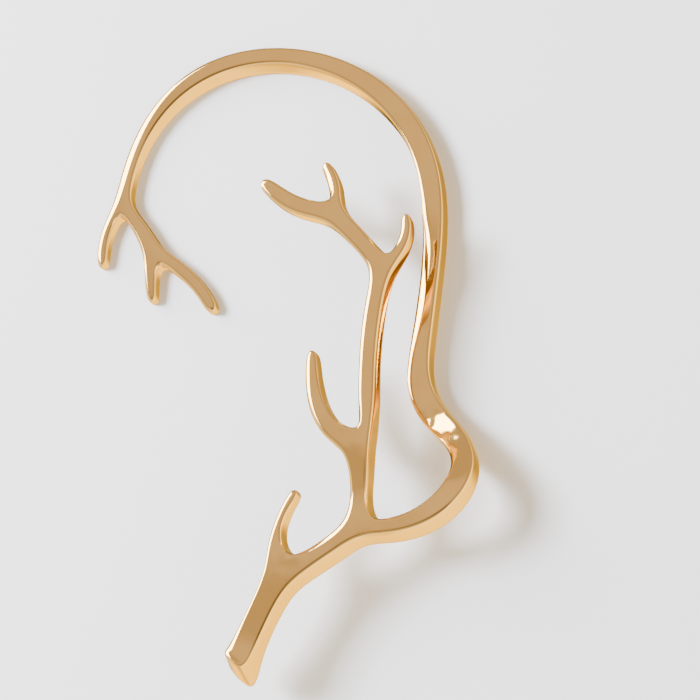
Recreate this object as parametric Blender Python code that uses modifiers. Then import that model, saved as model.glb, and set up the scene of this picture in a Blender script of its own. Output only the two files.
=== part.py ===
"""Over-ear cuff in the form of a forked branch, cast in one piece.

A stump rises into a short stem. The stem forks into an upright branch, which lies in
front of the ear, and into a long wire that bends back round the ear lobe, rises behind
the ear and arches over it. Both ends break into small twigs.

The script makes the casting as a caster's wax would be made. A flat ribbon is grown limb
by limb along its centre lines, with a three-cornered web at each fork. Solidify gives
the ribbon its depth, and Subdivision Surface rounds it. The casting lies on the flat
back of its ear wire, with the front branch raised over it.
"""

import math
from collections import namedtuple

import bmesh
import bpy
from mathutils import Vector

MM = 0.001

# Metal section
WIRE_WIDTH = 3.0 * MM
WIRE_DEPTH = 2.8 * MM
FRONT_EDGE_CREASE = 0.32
BACK_EDGE_CREASE = 0.45

# Room for the rim of the ear, from the back of the wire to the back of the front branch
EAR_STEP = 7.0 * MM

# Flared cut end of the stump: its width at the back and at the front, its depth, how far
# the front of the cut is set back, the cut's degrees from square, and the height of its
# back as a share of the ear step
FOOT_WIDTH = 7.4 * MM
FOOT_FRONT_WIDTH = 4.3 * MM
FOOT_DEPTH = 5.4 * MM
FOOT_SETBACK = 1.7 * MM
FOOT_SLANT = 18.0
FOOT_LEVEL = 0.78

# Lengths of the limbs along their centre lines
STUMP_LENGTH = 14.6 * MM
STUMP_TWIG_LENGTH = 11.4 * MM
STEM_LENGTH = 10.1 * MM
UPRIGHT_LENGTH = 9.7 * MM
UPRIGHT_TWIG_LENGTH = 17.2 * MM
UPPER_LENGTH = 24.6 * MM
OUTER_TWIG_LENGTH = 8.4 * MM
CROWN_LENGTH = 10.7 * MM
CROWN_TWIG_LENGTH = 7.2 * MM
INNER_TWIG_LENGTH = 12.5 * MM
LOBE_BEND_LENGTH = 40.5 * MM
EAR_RISE_LENGTH = 17.0 * MM
EAR_ARCH_LENGTH = 79.0 * MM
LOW_TWIG_LENGTH = 9.7 * MM
END_STEM_LENGTH = 9.2 * MM
END_TWIG_LENGTH = 6.7 * MM
LONG_END_TWIG_LENGTH = 13.2 * MM

# Reach of the web at each fork, from the limb below it to the crotch
STUMP_FORK_REACH = 3.8 * MM
STEM_FORK_REACH = 3.0 * MM
UPRIGHT_FORK_REACH = 3.0 * MM
UPPER_FORK_REACH = 2.6 * MM
CROWN_FORK_REACH = 2.4 * MM
ARCH_FORK_REACH = 1.9 * MM
END_FORK_REACH = 2.0 * MM

SMOOTH_LEVELS = 2

# A limb grows from the end of another limb, or from one side of the web at its end.
# heading is its first direction in degrees from +X, and turns is what it turns by at
# each step, to the left. widths and depths are shares of the wire's width and depth at
# the end of each step. levels are shares of the ear step, and a limb without them stays
# at its parent's level.
Limb = namedtuple("Limb", "name after side length heading turns widths depths levels",
                  defaults=(None,))
Fork = namedtuple("Fork", "after reach lean")

LIMBS = (
    Limb("stump", "foot", "end", STUMP_LENGTH, 71, (-6, -1, -1, -1),
         (1.42, 1.28, 1.28, 1.48), (1.4, 1.2, 1.15, 1.15), (0.83, 0.91, 0.97, 1)),
    Limb("stump_twig", "stump", "left", STUMP_TWIG_LENGTH, 115, (-17, -18, -16, -4),
         (0.72, 0.44, 0.46, 0.54), (0.85, 0.7, 0.65, 0.6)),
    Limb("stem", "stump", "right", STEM_LENGTH, 23, (8, 5, 3),
         (1.12, 1.14, 1.24), (1.12, 1.1, 1.1)),
    Limb("upright", "stem", "left", UPRIGHT_LENGTH, 97, (-7, 1, 10),
         (0.80, 0.96, 1.16), (1.0, 1.15, 1.3)),
    Limb("upright_twig", "upright", "left", UPRIGHT_TWIG_LENGTH, 168, (-28, -22, -13, -8, -3),
         (0.94, 0.88, 0.78, 0.66, 0.56), (0.95, 0.85, 0.75, 0.7, 0.6)),
    Limb("upper", "upright", "right", UPPER_LENGTH, 89, (6, -1, -6, -4, -8),
         (0.86, 0.84, 0.90, 0.92, 0.88), (1.15, 1, 0.95, 0.95, 0.95)),
    Limb("outer_twig", "upper", "right", OUTER_TWIG_LENGTH, 45, (18, 24, 30),
         (0.62, 0.56, 0.54), (0.75, 0.7, 0.6)),
    Limb("crown", "upper", "left", CROWN_LENGTH, 130, (2, 2, 2),
         (0.86, 0.90, 0.96), (0.9, 0.9, 0.9)),
    Limb("crown_twig", "crown", "right", CROWN_TWIG_LENGTH, 90, (14, 14, 4),
         (0.66, 0.56, 0.54), (0.75, 0.65, 0.6)),
    Limb("inner_twig", "crown", "left", INNER_TWIG_LENGTH, 178, (-14, -16, -10, 0),
         (0.88, 0.88, 0.80, 0.62), (0.85, 0.8, 0.75, 0.6)),
    Limb("lobe_bend", "stem", "right", LOBE_BEND_LENGTH, -12,
         (17, 15, 14, 24, 34, 24, 12, 10, -12, -18, -18, -6),
         (0.98, 1.08, 1.20, 1.24, 1.18, 1.14, 1.18, 1.22, 1.30, 1.22, 1.12, 1.06),
         (1.1, 1.1, 1.1, 1.1, 1.05, 1, 1, 1, 1, 1, 1, 1),
         (1, 1, 1, 0.94, 0.74, 0.48, 0.26, 0.10, 0.02, 0, 0, 0)),
    Limb("ear_rise", "lobe_bend", "end", EAR_RISE_LENGTH, 85, (0, 1, 1, 3),
         (1.02, 1.0, 1.0, 1.02), (1, 1, 1, 1)),
    Limb("ear_arch", "ear_rise", "end", EAR_ARCH_LENGTH, 90,
         (7, 11, 12, 11, 10, 10, 10, 10, 12, 13, 15, 18, 16, 14, 6),
         (1.08, 1.12, 1.18, 1.22, 1.20, 1.14, 1.12, 1.06, 1.08, 1.10, 1.10, 1.04, 0.92, 0.80,
          0.80),
         (1, 1, 1, 1, 1, 1, 1, 1, 1, 0.95, 0.9, 0.8, 0.7, 0.7, 0.7)),
    Limb("low_twig", "ear_arch", "right", LOW_TWIG_LENGTH, 240, (10, 18, 14),
         (0.60, 0.56, 0.55), (0.65, 0.6, 0.55)),
    Limb("end_stem", "ear_arch", "left", END_STEM_LENGTH, 312, (-4, -6, -6),
         (0.70, 0.80, 0.96), (0.7, 0.7, 0.7)),
    Limb("end_twig", "end_stem", "right", END_TWIG_LENGTH, 264, (10, 12),
         (0.56, 0.50), (0.65, 0.55)),
    Limb("long_end_twig", "end_stem", "left", LONG_END_TWIG_LENGTH, 326, (-2, -8, -10, -12),
         (0.70, 0.66, 0.64, 0.64), (0.65, 0.6, 0.6, 0.55)),
)

# lean is the direction of the crotch from the limb's own, in degrees to the left
FORKS = (
    Fork("stump", STUMP_FORK_REACH, 0),
    Fork("stem", STEM_FORK_REACH, -8),
    Fork("upright", UPRIGHT_FORK_REACH, -16),
    Fork("upper", UPPER_FORK_REACH, -2),
    Fork("crown", CROWN_FORK_REACH, -28),
    Fork("ear_arch", ARCH_FORK_REACH, 7),
    Fork("end_stem", END_FORK_REACH, 10),
)


def clear_scene():
    """Remove the objects that a new file starts with."""
    for old in list(bpy.data.objects):
        bpy.data.objects.remove(old, do_unlink=True)


def direction(heading):
    """Unit vector in the plane of the ribbon for a heading in degrees."""
    angle = math.radians(heading)
    return Vector((math.cos(angle), math.sin(angle), 0.0))


def foot_heading():
    """Heading square to the cut, FOOT_SLANT off the stump's first stretch."""
    return LIMBS[0].heading + LIMBS[0].turns[0] - FOOT_SLANT


class Ribbon:
    """A flat ribbon that grows limb by limb, one quad for each step."""

    def __init__(self):
        self.mesh = bmesh.new()
        self.depth = self.mesh.verts.layers.float.new("depth_share")

    def point(self, place, depth):
        vert = self.mesh.verts.new(place)
        vert[self.depth] = depth
        return vert

    def edge_across(self, centre, heading, width, depth):
        """Left and right corners of the ribbon at one station."""
        across = direction(heading + 90) * (width / 2)
        return self.point(centre + across, depth), self.point(centre - across, depth)

    def grow(self, start, limb):
        """Lay a limb's quads from the edge start, and return its last edge and heading."""
        left, right = start
        centre = (left.co + right.co) / 2
        heading = limb.heading
        step = limb.length / len(limb.turns)
        for index, turn in enumerate(limb.turns):
            centre = centre + direction(heading + turn / 2) * step
            heading += turn
            if limb.levels:
                centre.z = limb.levels[index] * EAR_STEP
            edge = self.edge_across(centre, heading, limb.widths[index] * WIRE_WIDTH,
                                    limb.depths[index])
            self.mesh.faces.new((right, edge[1], edge[0], left))
            left, right = edge
        return (left, right), heading

    def fork(self, edge, heading, reach):
        """Lay the three-cornered web of a fork, and return its two open sides."""
        left, right = edge
        middle = (left.co + right.co) / 2
        crotch = self.point(middle + direction(heading) * reach, left[self.depth])
        self.mesh.faces.new((left, right, crotch))
        return (left, crotch), (crotch, right)


def grow_branch():
    """Grow the whole ribbon from the cut end of the stump."""
    ribbon = Ribbon()
    forks = {fork.after: fork for fork in FORKS}
    foot = ribbon.edge_across(Vector((0.0, 0.0, EAR_STEP * FOOT_LEVEL)), foot_heading(),
                              FOOT_WIDTH, FOOT_DEPTH / WIRE_DEPTH)
    sides = {("foot", "end"): foot}
    for limb in LIMBS:
        edge, heading = ribbon.grow(sides[limb.after, limb.side], limb)
        sides[limb.name, "end"] = edge
        fork = forks.get(limb.name)
        if fork:
            webs = ribbon.fork(edge, heading + fork.lean, fork.reach)
            sides[limb.name, "left"], sides[limb.name, "right"] = webs
    return ribbon


def gold():
    """Polished warm gold plating."""
    material = bpy.data.materials.new("polished_gold")
    material.use_nodes = True
    shader = material.node_tree.nodes["Principled BSDF"]
    shader.inputs["Base Color"].default_value = (0.80, 0.53, 0.26, 1.0)
    shader.inputs["Metallic"].default_value = 1.0
    shader.inputs["Roughness"].default_value = 0.18
    return material


def give_depth(casting, shares):
    """Turn the ribbon into a closed cage by Solidify, as deep as its shares say."""
    deepest = max(shares)
    depth_group = casting.vertex_groups.new(name="depth")
    for index, share in enumerate(shares):
        depth_group.add([index], share / deepest, "REPLACE")

    wall = casting.modifiers.new("wall", "SOLIDIFY")
    wall.thickness = WIRE_DEPTH * deepest
    wall.offset = 1.0
    wall.vertex_group = depth_group.name
    wall.use_quality_normals = True
    wall.edge_crease_outer = FRONT_EDGE_CREASE
    wall.edge_crease_inner = BACK_EDGE_CREASE
    depsgraph = bpy.context.evaluated_depsgraph_get()
    cage = bpy.data.meshes.new_from_object(casting.evaluated_get(depsgraph))
    casting.modifiers.clear()
    casting.data = cage


def slope_cut(cage):
    """Set back and narrow the front of the cut, whose corners are the first two points."""
    back_count = len(cage.vertices) // 2
    middle = direction(LIMBS[0].heading) * FOOT_SETBACK
    middle.z = EAR_STEP * FOOT_LEVEL + FOOT_DEPTH
    across = direction(foot_heading() + 90) * (FOOT_FRONT_WIDTH / 2)
    for index, corner in enumerate((middle + across, middle - across)):
        pair = cage.vertices[index], cage.vertices[index + back_count]
        front = max(pair, key=lambda vert: vert.co.z)
        front.co = corner


def round_off(casting):
    """Round the cage into the finished limbs."""
    rounding = casting.modifiers.new("rounding", "SUBSURF")
    rounding.levels = SMOOTH_LEVELS
    rounding.render_levels = SMOOTH_LEVELS


def stand_on_origin(casting):
    """Move the mesh so that the finished box stands on the origin, centred in X and Y."""
    depsgraph = bpy.context.evaluated_depsgraph_get()
    finished = casting.evaluated_get(depsgraph)
    points = [vert.co.copy() for vert in finished.to_mesh().vertices]
    finished.to_mesh_clear()
    low = [min(point[axis] for point in points) for axis in range(3)]
    high = [max(point[axis] for point in points) for axis in range(3)]
    shift = Vector((-(low[0] + high[0]) / 2, -(low[1] + high[1]) / 2, -low[2]))
    for vert in casting.data.vertices:
        vert.co += shift


def cast_branch(collection):
    """Make the one casting of the cuff."""
    ribbon = grow_branch()
    shares = [vert[ribbon.depth] for vert in ribbon.mesh.verts]
    mesh = bpy.data.meshes.new("branch_ear_cuff")
    ribbon.mesh.to_mesh(mesh)
    ribbon.mesh.free()
    mesh.shade_smooth()
    mesh.materials.append(gold())
    casting = bpy.data.objects.new("branch_ear_cuff", mesh)
    collection.objects.link(casting)
    give_depth(casting, shares)
    slope_cut(casting.data)
    round_off(casting)
    stand_on_origin(casting)
    return casting


def main():
    clear_scene()
    collection = bpy.data.collections.new("branch_ear_cuff")
    bpy.context.scene.collection.children.link(collection)
    cast_branch(collection)


main()
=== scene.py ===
# %% [markdown]
# # A branch ear cuff in polished gold
#
# The cuff is one casting of thin metal wire, gold plated and polished. A stump breaks into an
# upright branch, which lies in front of the ear, and into a long wire that turns round the lobe,
# rises behind the ear and arches over it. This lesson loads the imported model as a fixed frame,
# models the casting again at a fine resolution, gives it its gold and lights it.

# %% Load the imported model
import math

import bmesh
import bpy
from mathutils import Matrix, Vector


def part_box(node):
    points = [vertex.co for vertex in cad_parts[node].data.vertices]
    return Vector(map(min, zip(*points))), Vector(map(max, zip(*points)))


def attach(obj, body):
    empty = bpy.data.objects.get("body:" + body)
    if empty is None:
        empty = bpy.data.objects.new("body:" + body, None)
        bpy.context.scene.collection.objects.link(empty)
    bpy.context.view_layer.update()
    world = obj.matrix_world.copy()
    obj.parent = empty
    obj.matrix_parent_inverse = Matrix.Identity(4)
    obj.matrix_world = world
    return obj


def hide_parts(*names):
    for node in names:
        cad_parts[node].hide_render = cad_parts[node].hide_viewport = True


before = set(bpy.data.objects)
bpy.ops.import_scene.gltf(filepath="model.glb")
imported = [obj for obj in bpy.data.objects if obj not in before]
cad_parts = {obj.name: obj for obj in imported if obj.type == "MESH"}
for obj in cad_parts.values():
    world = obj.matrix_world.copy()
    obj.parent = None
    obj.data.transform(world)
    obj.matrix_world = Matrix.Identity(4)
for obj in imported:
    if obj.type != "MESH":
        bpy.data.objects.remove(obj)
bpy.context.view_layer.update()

MM = 0.001
CASTING_NODE = "branch_ear_cuff"
box_low, box_high = (Vector(corner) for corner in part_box(CASTING_NODE))
print("packed casting, mm:", [round(value / MM, 2) for value in box_high - box_low])

# %% [markdown]
# ## The camera
#
# A jewel is photographed from some way off with a long lens, so that its limbs keep their
# proportions. The cuff lies on its back, and the camera looks down on it 28 degrees off the
# upright, from the side of the stump. Its three axes are written out, because an aimed camera
# would not hold the slight roll of the picture.

# %% Camera
CAMERA_RIGHT = Vector((0.9415, 0.0585, -0.3320))
CAMERA_UP = Vector((0.0585, 0.9415, 0.3320))
CAMERA_BACK = Vector((0.3320, -0.3320, 0.8830))
CAMERA_DISTANCE = 0.42
VIEW_WIDTH = 98 * MM

box_middle = (box_low + box_high) / 2
aim = Vector((box_middle.x + 10.73 * MM, box_middle.y - 0.30 * MM, 4.0 * MM))
bpy.ops.object.camera_add(location=aim + CAMERA_BACK * CAMERA_DISTANCE)
camera = bpy.context.object
camera.name = "camera"
camera.rotation_euler = Matrix((CAMERA_RIGHT, CAMERA_UP, CAMERA_BACK)).transposed().to_euler()
camera.data.sensor_width = 36.0
camera.data.lens = 36.0 * CAMERA_DISTANCE / VIEW_WIDTH
bpy.context.scene.camera = camera
print("lens, mm:", round(camera.data.lens, 1))

# %% [markdown]
# ## The plan of the branch
#
# A caster carves such a branch as a flat strip of wax first and rounds it later. The strip is
# described limb by limb: the direction it starts in, what it turns by at each step, and its
# width and depth after each step. Tables like these are easier to correct than a drawing, since
# one number moves one bend. Widths and depths are shares of one wire, and levels are shares of
# the step between the wire behind the ear and the branch in front of it.

# %% The wire and the foot
WIRE_WIDTH = 3.0 * MM
WIRE_DEPTH = 2.8 * MM
EAR_STEP = 7.0 * MM
FOOT_WIDTH = 7.4 * MM
FOOT_FRONT_WIDTH = 4.3 * MM
FOOT_DEPTH = 5.4 * MM
FOOT_SETBACK = 1.7 * MM
FOOT_HEADING = 47.0
FOOT_LEVEL = 0.78
print("wire, mm:", WIRE_WIDTH / MM, "by", WIRE_DEPTH / MM)

# %% The limbs
# name: (grows after, on its side, length in mm, heading, turns, widths, depths, levels)
LIMBS = {
    "stump": ("foot", "end", 14.6, 71, (-6, -1, -1, -1),
              (1.42, 1.28, 1.28, 1.48), (1.4, 1.2, 1.15, 1.15), (0.83, 0.91, 0.97, 1)),
    "stump_twig": ("stump", "left", 11.4, 115, (-17, -18, -16, -4),
                   (0.72, 0.44, 0.46, 0.54), (1.05, 0.9, 0.75, 0.6), None),
    "stem": ("stump", "right", 10.1, 23, (8, 5, 3),
             (1.12, 1.14, 1.24), (1.12, 1.1, 1.1), None),
    "upright": ("stem", "left", 9.7, 97, (-7, 1, 10),
                (0.80, 0.96, 1.16), (1.0, 1.15, 1.3), None),
    "upright_twig": ("upright", "left", 17.2, 168, (-28, -22, -13, -8, -3),
                     (0.94, 0.88, 0.78, 0.66, 0.56), (1.2, 1.08, 0.95, 0.8, 0.65), None),
    "upper": ("upright", "right", 24.6, 89, (6, -1, -6, -4, -8),
              (0.86, 0.84, 0.90, 0.92, 0.88), (1.15, 1, 0.95, 0.95, 0.95), None),
    "outer_twig": ("upper", "right", 8.4, 45, (18, 24, 30),
                   (0.62, 0.56, 0.54), (0.75, 0.7, 0.6), None),
    "crown": ("upper", "left", 10.7, 130, (2, 2, 2),
              (0.86, 0.90, 0.96), (0.9, 0.9, 0.9), None),
    "crown_twig": ("crown", "right", 7.2, 90, (14, 14, 4),
                   (0.66, 0.56, 0.54), (0.75, 0.65, 0.6), None),
    "inner_twig": ("crown", "left", 12.5, 178, (-14, -16, -10, 0),
                   (0.88, 0.88, 0.80, 0.62), (0.85, 0.8, 0.75, 0.6), None),
    "lobe_bend": ("stem", "right", 40.5, -12,
                  (17, 15, 14, 24, 34, 24, 12, 10, -12, -18, -18, -6),
                  (0.98, 1.08, 1.20, 1.24, 1.18, 1.14, 1.18, 1.22, 1.30, 1.22, 1.12, 1.06),
                  (1.1, 1.1, 1.1, 1.1, 1.05, 1, 1, 1, 1, 1, 1, 1),
                  (1, 1, 1, 0.94, 0.74, 0.48, 0.26, 0.10, 0.02, 0, 0, 0)),
    "ear_rise": ("lobe_bend", "end", 17.0, 85, (0, 1, 1, 3),
                 (1.02, 1.0, 1.0, 1.02), (1, 1, 1, 1), None),
    "ear_arch": ("ear_rise", "end", 79.0, 90,
                 (7, 11, 12, 11, 10, 10, 10, 10, 12, 13, 15, 18, 16, 14, 6),
                 (1.08, 1.12, 1.18, 1.22, 1.20, 1.14, 1.12, 1.06, 1.08, 1.10, 1.10, 1.04,
                  0.92, 0.80, 0.80),
                 (1, 1, 1, 1, 1, 1, 1, 1, 1, 0.95, 0.9, 0.8, 0.7, 0.7, 0.7), None),
    "low_twig": ("ear_arch", "right", 9.7, 240, (10, 18, 14),
                 (0.60, 0.56, 0.55), (0.65, 0.6, 0.55), None),
    "end_stem": ("ear_arch", "left", 9.2, 312, (-4, -6, -6),
                 (0.70, 0.80, 0.96), (0.7, 0.7, 0.7), None),
    "end_twig": ("end_stem", "right", 6.7, 264, (10, 12),
                 (0.56, 0.50), (0.65, 0.55), None),
    "long_end_twig": ("end_stem", "left", 13.2, 326, (-2, -8, -10, -12),
                      (0.70, 0.66, 0.64, 0.64), (0.65, 0.6, 0.6, 0.55), None),
}

# %% The forks
# limb it ends: (reach of the web in mm, its lean to the left in degrees)
FORKS = {
    "stump": (3.8, 0),
    "stem": (3.0, -8),
    "upright": (3.0, -16),
    "upper": (2.6, -2),
    "crown": (2.4, -28),
    "ear_arch": (1.9, 7),
    "end_stem": (2.0, 10),
}
print("limbs:", len(LIMBS), "forks:", len(FORKS))

# %% [markdown]
# ## Growing the strip
#
# The strip could be drawn as a curve with a profile, but a curve can't fork. A skin of spheres
# forks, but its joints bulge. So the strip starts as one plane and grows by extruding its end
# edge: push it out, move, turn and widen the new edge, and give it its depth as a vertex
# weight. Where a limb forks, the edge is pushed out once more and its two new corners are
# merged into a crotch, and each side of that triangle carries a limb.

# %% Directions and picking
DEEPEST = FOOT_DEPTH / WIRE_DEPTH


def direction(heading):
    """Unit vector for a heading in degrees, counted from +X."""
    return Vector((math.cos(math.radians(heading)), math.sin(math.radians(heading)), 0.0))


def corners(centre, heading, width):
    """Left and right corner of the strip across a heading."""
    across = direction(heading + 90) * (width / 2)
    return centre + across, centre - across


def pick(*places):
    """Select only the corners of the strip at these places."""
    bpy.ops.mesh.select_all(action="DESELECT")
    strip = bmesh.from_edit_mesh(bpy.context.object.data)
    for place in places:
        min(strip.verts, key=lambda corner: (corner.co - place).length).select = True
    strip.select_flush(True)
    bmesh.update_edit_mesh(bpy.context.object.data)


# %% Setting one edge of the strip
def set_edge(edge, centre, heading, width, share):
    """Move, turn and widen the picked edge, and weigh it with its depth."""
    left, right = edge
    bpy.ops.transform.translate(value=centre - (left + right) / 2)
    across = left - right
    turn = heading + 90 - math.degrees(math.atan2(across.y, across.x))
    turn = (turn + 180) % 360 - 180
    bpy.ops.transform.rotate(value=-math.radians(turn), orient_axis="Z", center_override=centre)
    bpy.ops.transform.resize(value=[width / across.length] * 3, center_override=centre)
    bpy.context.tool_settings.vertex_group_weight = share / DEEPEST
    bpy.ops.object.vertex_group_assign()
    return corners(centre, heading, width)


# %% [markdown]
# ## The first plane
#
# The stump ends in a flared cut that slants across it. The plane is added there at its size,
# and its two ends are set like every later edge: one is the cut, and the other is the first
# step up the stump.

# %% Start at the cut end of the stump
stump_heading = LIMBS["stump"][3]
cut_centre = Vector((0.0, 0.0, EAR_STEP * FOOT_LEVEL))
bpy.ops.object.select_all(action="DESELECT")
bpy.ops.mesh.primitive_plane_add(size=FOOT_WIDTH, location=cut_centre,
                                 rotation=(0.0, 0.0, math.radians(stump_heading - 90)))
bpy.ops.object.transform_apply(location=True, rotation=True, scale=True)
casting = bpy.context.object
casting.name = "gold_casting"
casting.data.name = "gold_casting"
casting.vertex_groups.new(name="depth")

bpy.ops.object.mode_set(mode="EDIT")
bpy.ops.mesh.select_mode(type="VERT")
back_edge = corners(cut_centre - direction(stump_heading) * (FOOT_WIDTH / 2),
                    stump_heading, FOOT_WIDTH)
fore_edge = corners(cut_centre + direction(stump_heading) * (FOOT_WIDTH / 2),
                    stump_heading, FOOT_WIDTH)
pick(*back_edge)
cut_edge = set_edge(back_edge, cut_centre, FOOT_HEADING, FOOT_WIDTH, DEEPEST)
print("cut edge, mm:", [round(value / MM, 2) for value in cut_edge[0] - cut_edge[1]])


# %% Grow one limb
def grow(edge, limb, passed, first=None):
    """Extrude a limb from an edge, note the edges it passed, and return the last one."""
    after, side, length, heading, turns, widths, depths, levels = limb
    centre = (edge[0] + edge[1]) / 2
    step = length * MM / len(turns)
    for index, turn in enumerate(turns):
        centre = centre + direction(heading + turn / 2) * step
        heading += turn
        if levels:
            centre.z = levels[index] * EAR_STEP
        if first and index == 0:
            edge = first
            pick(*edge)
        else:
            pick(*edge)
            bpy.ops.mesh.extrude_region_move()
        edge = set_edge(edge, centre, heading, widths[index] * WIRE_WIDTH, depths[index])
        passed.append(edge)
    return edge, heading


# %% Web one fork
def web(edge, heading, reach, lean):
    """Extrude the web of a fork, merge it to its crotch, and return its two open sides."""
    left, right = edge
    push = direction(heading + lean) * (reach * MM)
    pick(left, right)
    bpy.ops.mesh.extrude_region_move(TRANSFORM_OT_translate={"value": push})
    bpy.ops.mesh.merge(type="CENTER")
    crotch = (left + right) / 2 + push
    crotches.append((crotch, push.normalized(), reach))
    return (left, crotch), (crotch, right)


# %% Grow all limbs
ends = {("foot", "end"): cut_edge}
stations = {}
crotches = []
for name, limb in LIMBS.items():
    first = fore_edge if name == "stump" else None
    stations[name] = []
    edge, heading = grow(ends[limb[0], limb[1]], limb, stations[name], first)
    ends[name, "end"] = edge
    if name in FORKS:
        ends[name, "left"], ends[name, "right"] = web(edge, heading, *FORKS[name])

bpy.ops.mesh.select_all(action="SELECT")
bpy.ops.mesh.normals_make_consistent(inside=False)
strip = bmesh.from_edit_mesh(casting.data)
if sum(face.normal.z for face in strip.faces) < 0:
    bpy.ops.mesh.flip_normals()
bpy.ops.object.mode_set(mode="OBJECT")
print("strip faces:", len(casting.data.polygons), "corners:", len(casting.data.vertices))

# %% [markdown]
# ## From strip to casting
#
# Solidify gives the strip its metal, as deep as the weights say, all of it on the front, so
# the back of the ear wire stays flat on the table. The creases keep the front edges a little
# crisper than a round wire would have, as a caster files them.

# %% Depth
wall = casting.modifiers.new("wall", "SOLIDIFY")
wall.thickness = WIRE_DEPTH * DEEPEST
wall.offset = 1.0
wall.vertex_group = "depth"
wall.use_quality_normals = True
wall.edge_crease_outer = 0.32
wall.edge_crease_inner = 0.45
bpy.ops.object.modifier_apply(modifier="wall")
print("cage faces:", len(casting.data.polygons))

# %% [markdown]
# The cut of the stump is sloped: its front is set back and narrower than its back, so that a
# broad light face shows under the front. Its two front corners are moved to their places. The
# stem and the start of the lobe bend lean in the same way on their lower side, where the light
# band along them is widest.

# %% Slope the cut and the lower side
cage_corners = [vert.co.copy() for vert in casting.data.vertices]
half = len(cage_corners) // 2


def over(corner):
    """The front corner of the cage that Solidify put over a corner of the strip."""
    nearest = min(range(2 * half), key=lambda index: (cage_corners[index] - corner).length)
    return cage_corners[(nearest + half) % (2 * half)]


bpy.ops.object.mode_set(mode="EDIT")
front_centre = direction(stump_heading) * FOOT_SETBACK
front_centre.z = EAR_STEP * FOOT_LEVEL + FOOT_DEPTH
for corner, goal in zip(cut_edge, corners(front_centre, FOOT_HEADING, FOOT_FRONT_WIDTH)):
    pick(over(corner))
    bpy.ops.transform.translate(value=goal - over(corner))

# limb: (side, how far its front corner leans in at each step, mm)
LEAN = {
    "stump": ("right", (0.0, 0.1, 0.2, 0.35)),
    "stem": ("right", (0.6, 0.6, 0.5)),
    "lobe_bend": ("right", (0.6, 0.6, 0.5, 0.3)),
    "ear_arch": ("left", (0.0, 0.1, 0.2, 0.35, 0.5, 0.5, 0.5, 0.5, 0.5, 0.5, 0.4, 0.3, 0.2)),
}
for name, (side, leans) in LEAN.items():
    for (left, right), lean in zip(stations[name], leans):
        outer, other = (left, right) if side == "left" else (right, left)
        pick(over(outer))
        bpy.ops.transform.translate(value=(other - outer).normalized() * (lean * MM))
print("leaning corners:", sum(len(leans) for side, leans in LEAN.values()))

# %% [markdown]
# The front isn't one flat face to its edges. It slopes away gently in a narrow border on both
# sides, and that border is what catches the white lines. It is an inset of all the front
# faces that lifts them a little, and its inner line gets a slight crease.

# %% Border of the front
BORDER = 0.46 * MM
RISE = 0.2 * MM
bpy.ops.mesh.select_mode(type="FACE")
bpy.ops.mesh.select_all(action="DESELECT")
cage = bmesh.from_edit_mesh(casting.data)
for face in cage.faces:
    face.select = face.normal.z > 0.6
bmesh.update_edit_mesh(casting.data)
bpy.ops.mesh.inset(thickness=BORDER, depth=RISE, use_boundary=True, use_even_offset=True)
bpy.ops.mesh.region_to_loop()
bpy.ops.transform.edge_crease(value=0.25)
bpy.ops.mesh.select_mode(type="VERT")
print("cage faces with the border:", len(cage.faces))

# %% [markdown]
# The polishing wheel has worn the side that faces the light more than the other, and there the
# border is a broad bevel. Step by step its inner line is moved in and its outer line is
# lowered and loses its crease, so that it rolls over into the side.

# %% Broad bevels
# limb: (side, how far the inner line moves in at each step, mm)
BROAD = {
    "stump": ("left", (0.8, 0.15, 0.05, 0.05)),
    "stump_twig": ("left", (0.1, 0.2, 0.2, 0.2)),
    "stem": ("left", (0.4, 0.65, 0.6)),
    "upright": ("left", (0.3, 0.1, 0.0)),
    "upright_twig": ("left", (0.0, 0.2, 0.3, 0.3, 0.2)),
    "upper": ("left", (0.1, 0.2, 0.35, 0.45, 0.25)),
    "outer_twig": ("left", (0.1, 0.2, 0.2)),
    "crown_twig": ("left", (0.4, 0.4, 0.3)),
    "lobe_bend": ("left", (0, 0, 0, 0, 0, 0, 0, 0, 0, 0, 0.3, 0.6)),
    "ear_rise": ("left", (0.9, 0.95, 0.9, 0.8)),
    "ear_arch": ("right", (0, 0, 0, 0, 0, 0, 0, 0, 0, 0, 0.2, 0.6, 0.9, 0.9, 0.7)),
    "low_twig": ("right", (0.4, 0.3, 0.2)),
}
OUTER_DROP = 0.25
OUTWARD = 0.12 * MM


def up(height):
    """A step straight up."""
    return Vector((0.0, 0.0, height))


def move(place, step):
    """Move the corner of the cage at a place."""
    pick(place)
    bpy.ops.transform.translate(value=step)


rounded = []
for name, (side, steps) in BROAD.items():
    for (left, right), step in zip(stations[name], steps):
        if step:
            outer, other = (left, right) if side == "left" else (right, left)
            inward = (other - outer).normalized()
            move(over(outer) + inward * BORDER + up(RISE), inward * (step * MM))
            down = up(-OUTER_DROP * step * MM) - inward * OUTWARD
            move(over(outer), down)
            rounded.append(over(outer) + down)
pick(*rounded)
bpy.ops.transform.edge_crease(value=-1.0)
print("steps with a broad bevel:", len(rounded))

# %% [markdown]
# At each crotch the front dips a little, as a fillet file leaves it, and more so in the wide
# forks. The left front corner of the cut is worn down further than its other edges.

# %% Dips at the crotches
DIP = 0.9 * MM
WIDE_REACH = 2.2
for crotch, ahead, reach in crotches:
    dip = DIP if reach > WIDE_REACH else DIP / 3
    move(over(crotch), up(-dip) - ahead * (dip / 2))
print("dips:", len(crotches))

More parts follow.
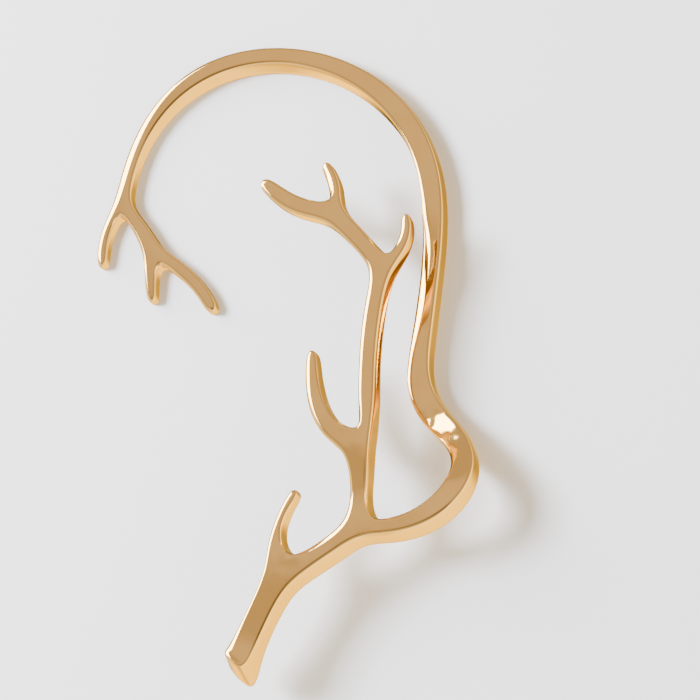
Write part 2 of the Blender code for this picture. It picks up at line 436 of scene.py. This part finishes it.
# %% Worn corner of the cut
WORN_IN = 0.7 * MM
WORN_BACK = 0.25 * MM
WORN_INNER_DROP = 0.15 * MM
WORN_OUTER_DROP = 0.8 * MM
worn_corner, other_corner = corners(front_centre, FOOT_HEADING, FOOT_FRONT_WIDTH)
inward = (other_corner - worn_corner).normalized()
ahead = direction(stump_heading)
move(worn_corner + (inward + ahead) * BORDER + up(RISE),
     inward * WORN_IN - ahead * WORN_BACK - up(WORN_INNER_DROP))
move(worn_corner, up(-WORN_OUTER_DROP))
print("worn down by, mm:", WORN_OUTER_DROP / MM)

# %% [markdown]
# The wire that rises behind the ear has the broadest bevel. Its inner line is sunk to the level
# of the front's edge and creased to a ridge, and its outer line is lowered again and let out.
# So the bevel is steep enough to mirror the soft box from under the branch in front of it.

# %% Steep bevel behind the ear
RIDGE_OUTWARD = 0.25 * MM
RIDGE_DROPS = (0.48, 0.48, 0.45, 0.1)  # how far the outer line sinks at each step, mm
ridge = []
for (left, right), step, drop in zip(stations["ear_rise"], BROAD["ear_rise"][1], RIDGE_DROPS):
    inward = (right - left).normalized()
    inner = over(left) + inward * (BORDER + step * MM) + up(RISE)
    move(inner, up(-RISE))
    ridge.append(inner - up(RISE))
    move(over(left) - inward * OUTWARD - up(OUTER_DROP * step * MM),
         -inward * RIDGE_OUTWARD - up(drop * MM))
pick(*ridge)
bpy.ops.transform.edge_crease(value=0.5)
print("corners of the ridge:", len(ridge))

# %% [markdown]
# Subdivision Surface rounds the limbs and runs the webs into smooth forks. Three levels are
# fine enough for a mirror, which shows every facet. The mesh is then moved onto the packed
# casting and trimmed to its box, since it stands a little proud of it.

# %% Round the limbs
bpy.ops.object.mode_set(mode="OBJECT")
rounding = casting.modifiers.new("rounding", "SUBSURF")
rounding.levels = 3
rounding.render_levels = 3
bpy.ops.object.modifier_apply(modifier="rounding")
bpy.ops.object.shade_smooth()
print("casting triangles:", sum(len(face.vertices) - 2 for face in casting.data.polygons))

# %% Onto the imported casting
low = Vector([min(vert.co[axis] for vert in casting.data.vertices) for axis in range(3)])
high = Vector([max(vert.co[axis] for vert in casting.data.vertices) for axis in range(3)])
trim = [(box_high[axis] - box_low[axis]) / (high[axis] - low[axis]) for axis in range(3)]
bpy.ops.object.mode_set(mode="EDIT")
bpy.ops.mesh.select_all(action="SELECT")
shift = box_middle - (low + high) / 2
bpy.ops.transform.translate(value=shift)
bpy.ops.transform.resize(value=trim, center_override=box_middle)
bpy.ops.object.mode_set(mode="OBJECT")
print("casting, mm:", [round(value / MM, 3) for value in high - low])
print("trimmed by:", [round(1 - value, 5) for value in trim])

# %% [markdown]
# ## Polished gold
#
# The plating is a warm gold with a mirror polish. A mirror shows only what stands round it, so
# most of its look comes from the lights. What the metal adds is small: its colour drifts a
# little, the polish is a little duller in places, and the casting under it isn't quite even,
# which makes its reflections waver.

# %% Gold
gold = bpy.data.materials.new("gold_plating")
gold.use_nodes = True
nodes, links = gold.node_tree.nodes, gold.node_tree.links
shader = nodes["Principled BSDF"]
shader.inputs["Metallic"].default_value = 1.0
shader.inputs["Specular Tint"].default_value = (0.60, 0.52, 0.45, 1.0)
place = nodes.new("ShaderNodeTexCoord").outputs["Object"]
print("gold:", gold.name)


# %% Noise, ranges and bumps
def noise(scale, detail):
    """A noise that stays with the casting."""
    node = nodes.new("ShaderNodeTexNoise")
    node.inputs["Scale"].default_value = scale
    node.inputs["Detail"].default_value = detail
    links.new(place, node.inputs["Vector"])
    return node.outputs["Fac"]


def ranged(tree, value, start, end, first, last):
    """A value that goes from first to last as another goes from start to end."""
    node = tree.nodes.new("ShaderNodeMapRange")
    node.inputs["From Min"].default_value = start
    node.inputs["From Max"].default_value = end
    node.inputs["To Min"].default_value = first
    node.inputs["To Max"].default_value = last
    tree.links.new(value, node.inputs["Value"])
    return node.outputs["Result"]


def bump(height, strength, distance):
    """A bump over a height."""
    node = nodes.new("ShaderNodeBump")
    node.inputs["Strength"].default_value = strength
    node.inputs["Distance"].default_value = distance
    links.new(height, node.inputs["Height"])
    return node


# %% Colour, polish and waver
tint = nodes.new("ShaderNodeValToRGB")
tint.color_ramp.elements[0].position = 0.35
tint.color_ramp.elements[0].color = (0.93, 0.58, 0.17, 1.0)
tint.color_ramp.elements[1].position = 0.65
tint.color_ramp.elements[1].color = (0.95, 0.61, 0.20, 1.0)
links.new(noise(180.0, 3.0), tint.inputs["Fac"])
links.new(tint.outputs["Color"], shader.inputs["Base Color"])
polish = ranged(gold.node_tree, noise(420.0, 4.0), 0.3, 0.7, 0.05, 0.10)
links.new(polish, shader.inputs["Roughness"])
waver = bump(noise(320.0, 2.0), 0.35, 0.05 * MM)
print("nodes so far:", len(nodes))

# %% [markdown]
# Where the lobe bend sinks to the ear wire the casting is visibly rippled, as soft wax is where
# it was bent by hand, and the front forks have small dents at their crotches, where a polishing
# wheel doesn't reach. A second, stronger bump is kept to those places by the distance from them,
# counted in the radius that each place has.

# %% Rippled places
BEND_STEP = 7
BEND_LEVEL = 3.5 * MM
BEND_RADIUS = 9.0 * MM
CROTCH_RADIUS = 3.2 * MM
left, right = stations["lobe_bend"][BEND_STEP]
ripple_places = [(Vector(((left.x + right.x) / 2, (left.y + right.y) / 2, BEND_LEVEL)),
                  BEND_RADIUS)]
ripple_places += [(over(crotch) - up(DIP), CROTCH_RADIUS)
                  for crotch, ahead, reach in crotches if reach > WIDE_REACH]
print("rippled places:", len(ripple_places))


# %% How near the next rippled place is
def reckon(operation, one, other):
    """A sum of two values, of which the second may be a number."""
    node = nodes.new("ShaderNodeMath")
    node.operation = operation
    links.new(one, node.inputs[0])
    if isinstance(other, float):
        node.inputs[1].default_value = other
    else:
        links.new(other, node.inputs[1])
    return node.outputs["Value"]


nearest = None
for spot, radius in ripple_places:
    away = nodes.new("ShaderNodeVectorMath")
    away.operation = "DISTANCE"
    away.inputs[1].default_value = spot + Vector((shift.x, shift.y, 0.0))
    links.new(place, away.inputs[0])
    share = reckon("DIVIDE", away.outputs["Value"], radius)
    nearest = reckon("MINIMUM", nearest, share) if nearest else share
near = ranged(gold.node_tree, nearest, 0.35, 1.0, 1.0, 0.0)
print("smallest radius, mm:", round(min(radius for spot, radius in ripple_places) / MM, 1))

# %% Bump of the ripples
ripple_height = reckon("MULTIPLY", reckon("SUBTRACT", noise(300.0, 1.0), 0.5), near)
ripple = bump(ripple_height, 0.9, 0.3 * MM)
links.new(waver.outputs["Normal"], ripple.inputs["Normal"])
links.new(ripple.outputs["Normal"], shader.inputs["Normal"])
print("nodes with the ripples:", len(nodes))

# %% Gold onto the casting
casting.data.materials.clear()
casting.data.materials.append(gold)
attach(casting, "root")
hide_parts(CASTING_NODE)
print("finished piece:", casting.name)

# %% [markdown]
# ## Floor and light
#
# The floor is one pale, dull sheet, large enough to fill the picture. A grey floor would make
# the sides of the gold look dull, so the metal doesn't mirror it: it mirrors a warm ground,
# which is the lower half of the room. The room is dim overhead and bright round the horizon, so
# the front of the branch stays a deep gold while its sides turn light. Four darker places in
# it, as black cards make in a studio, draw the dark lines along the edges, and one lighter
# place stands in front of the cut of the stump. A soft box low on the left draws the white
# lines.

# %% Floor
bpy.ops.object.select_all(action="DESELECT")
bpy.ops.mesh.primitive_plane_add(size=4.0, location=(0.0, 0.0, 0.0))
floor = bpy.context.object
floor.name = "floor"
paper = bpy.data.materials.new("pale_floor")
paper.use_nodes = True
dull = paper.node_tree.nodes["Principled BSDF"]
dull.inputs["Base Color"].default_value = (0.80, 0.80, 0.79, 1)
dull.inputs["Roughness"].default_value = 0.9
dull.inputs["Specular IOR Level"].default_value = 0.1
floor.data.materials.append(paper)
floor.visible_glossy = False
print("floor, m:", floor.dimensions.x)

# %% Room
room = bpy.context.scene.world or bpy.data.worlds.new("room")
bpy.context.scene.world = room
room.use_nodes = True
room_nodes, room_links = room.node_tree.nodes, room.node_tree.links
sky = next(node for node in room_nodes if node.type == "BACKGROUND")
sky.inputs["Strength"].default_value = 3.0
way = room_nodes.new("ShaderNodeTexCoord")
print("strength of the room:", sky.inputs["Strength"].default_value)


# %% Directions, places and ramps of the room
def facing(heading):
    """How near a direction of the room is to this one: 1 along it, 0 square to it."""
    dot = room_nodes.new("ShaderNodeVectorMath")
    dot.operation = "DOT_PRODUCT"
    dot.inputs[1].default_value = Vector(heading).normalized()
    room_links.new(way.outputs["Generated"], dot.inputs[0])
    return dot.outputs["Value"]


def scaled(colour, factor, start, end, share):
    """A colour that goes to a share of itself as the factor goes from start to end."""
    product = room_nodes.new("ShaderNodeVectorMath")
    product.operation = "SCALE"
    room_links.new(colour, product.inputs[0])
    room_links.new(ranged(room.node_tree, factor, start, end, 1.0, share),
                   product.inputs["Scale"])
    return product.outputs["Vector"]


def ramp(factor, stops):
    """A colour ramp over a factor."""
    node = room_nodes.new("ShaderNodeValToRGB")
    for index, (position, colour) in enumerate(stops):
        stop = (node.color_ramp.elements[index] if index < 2
                else node.color_ramp.elements.new(position))
        stop.position = position
        stop.color = (*colour, 1.0)
    room_links.new(factor, node.inputs["Fac"])
    return node.outputs["Color"]


# %% Room colours
glow = ramp(facing((-0.15, 0.55, 0.82)),
            ((0.40, (1.0, 0.88, 0.68)), (1.0, (0.34, 0.275, 0.232)),
             (0.62, (0.245, 0.196, 0.152)), (0.90, (0.245, 0.196, 0.152)),
             (0.955, (0.33, 0.267, 0.225))))
below = ramp(facing((0.0, 0.0, 1.0)), ((0.0, (1.0, 0.86, 0.34)), (0.004, (1.0, 1.0, 1.0))))
both = room_nodes.new("ShaderNodeVectorMath")
both.operation = "MULTIPLY"
room_links.new(glow, both.inputs[0])
room_links.new(below, both.inputs[1])
near_side = scaled(both.outputs["Vector"], facing((0.10, -0.42, 0.90)), 0.80, 0.93, 0.35)
left_below = scaled(near_side, facing((-0.60, 0.60, -0.55)), 0.77, 0.89, 0.10)
right_below = scaled(left_below, facing((0.35, 0.65, -0.68)), 0.82, 0.93, 0.35)
near_left = scaled(right_below, facing((-0.75, -0.60, 0.0)), 0.62, 0.85, 0.50)
at_foot = scaled(near_left, facing((-0.70, -0.06, -0.71)), 0.88, 0.97, 1.5)
room_links.new(at_foot, sky.inputs["Color"])
print("room nodes:", len(room_nodes))


# %% Soft boxes
def soft_box(name, place, width, height, power):
    """A rectangular light that faces the middle of the cuff."""
    bpy.ops.object.light_add(type="AREA", location=place)
    lamp = bpy.context.object
    lamp.name = name
    lamp.data.shape = "RECTANGLE"
    lamp.data.size = width
    lamp.data.size_y = height
    lamp.data.energy = power
    lamp.rotation_euler = (Vector(place) - aim).to_track_quat("Z", "Y").to_euler()
    return lamp


left_box = soft_box("left_box", (-0.53, 0.33, 0.27), 0.38, 0.48, 9.0)
fill_box = soft_box("fill_box", (-0.60, 0.10, 0.60), 0.30, 0.30, 22.0)
fill_box.data.color = (0.93, 1.02, 1.20)
fill_box.visible_glossy = False
print("soft boxes, W:", left_box.data.energy, fill_box.data.energy)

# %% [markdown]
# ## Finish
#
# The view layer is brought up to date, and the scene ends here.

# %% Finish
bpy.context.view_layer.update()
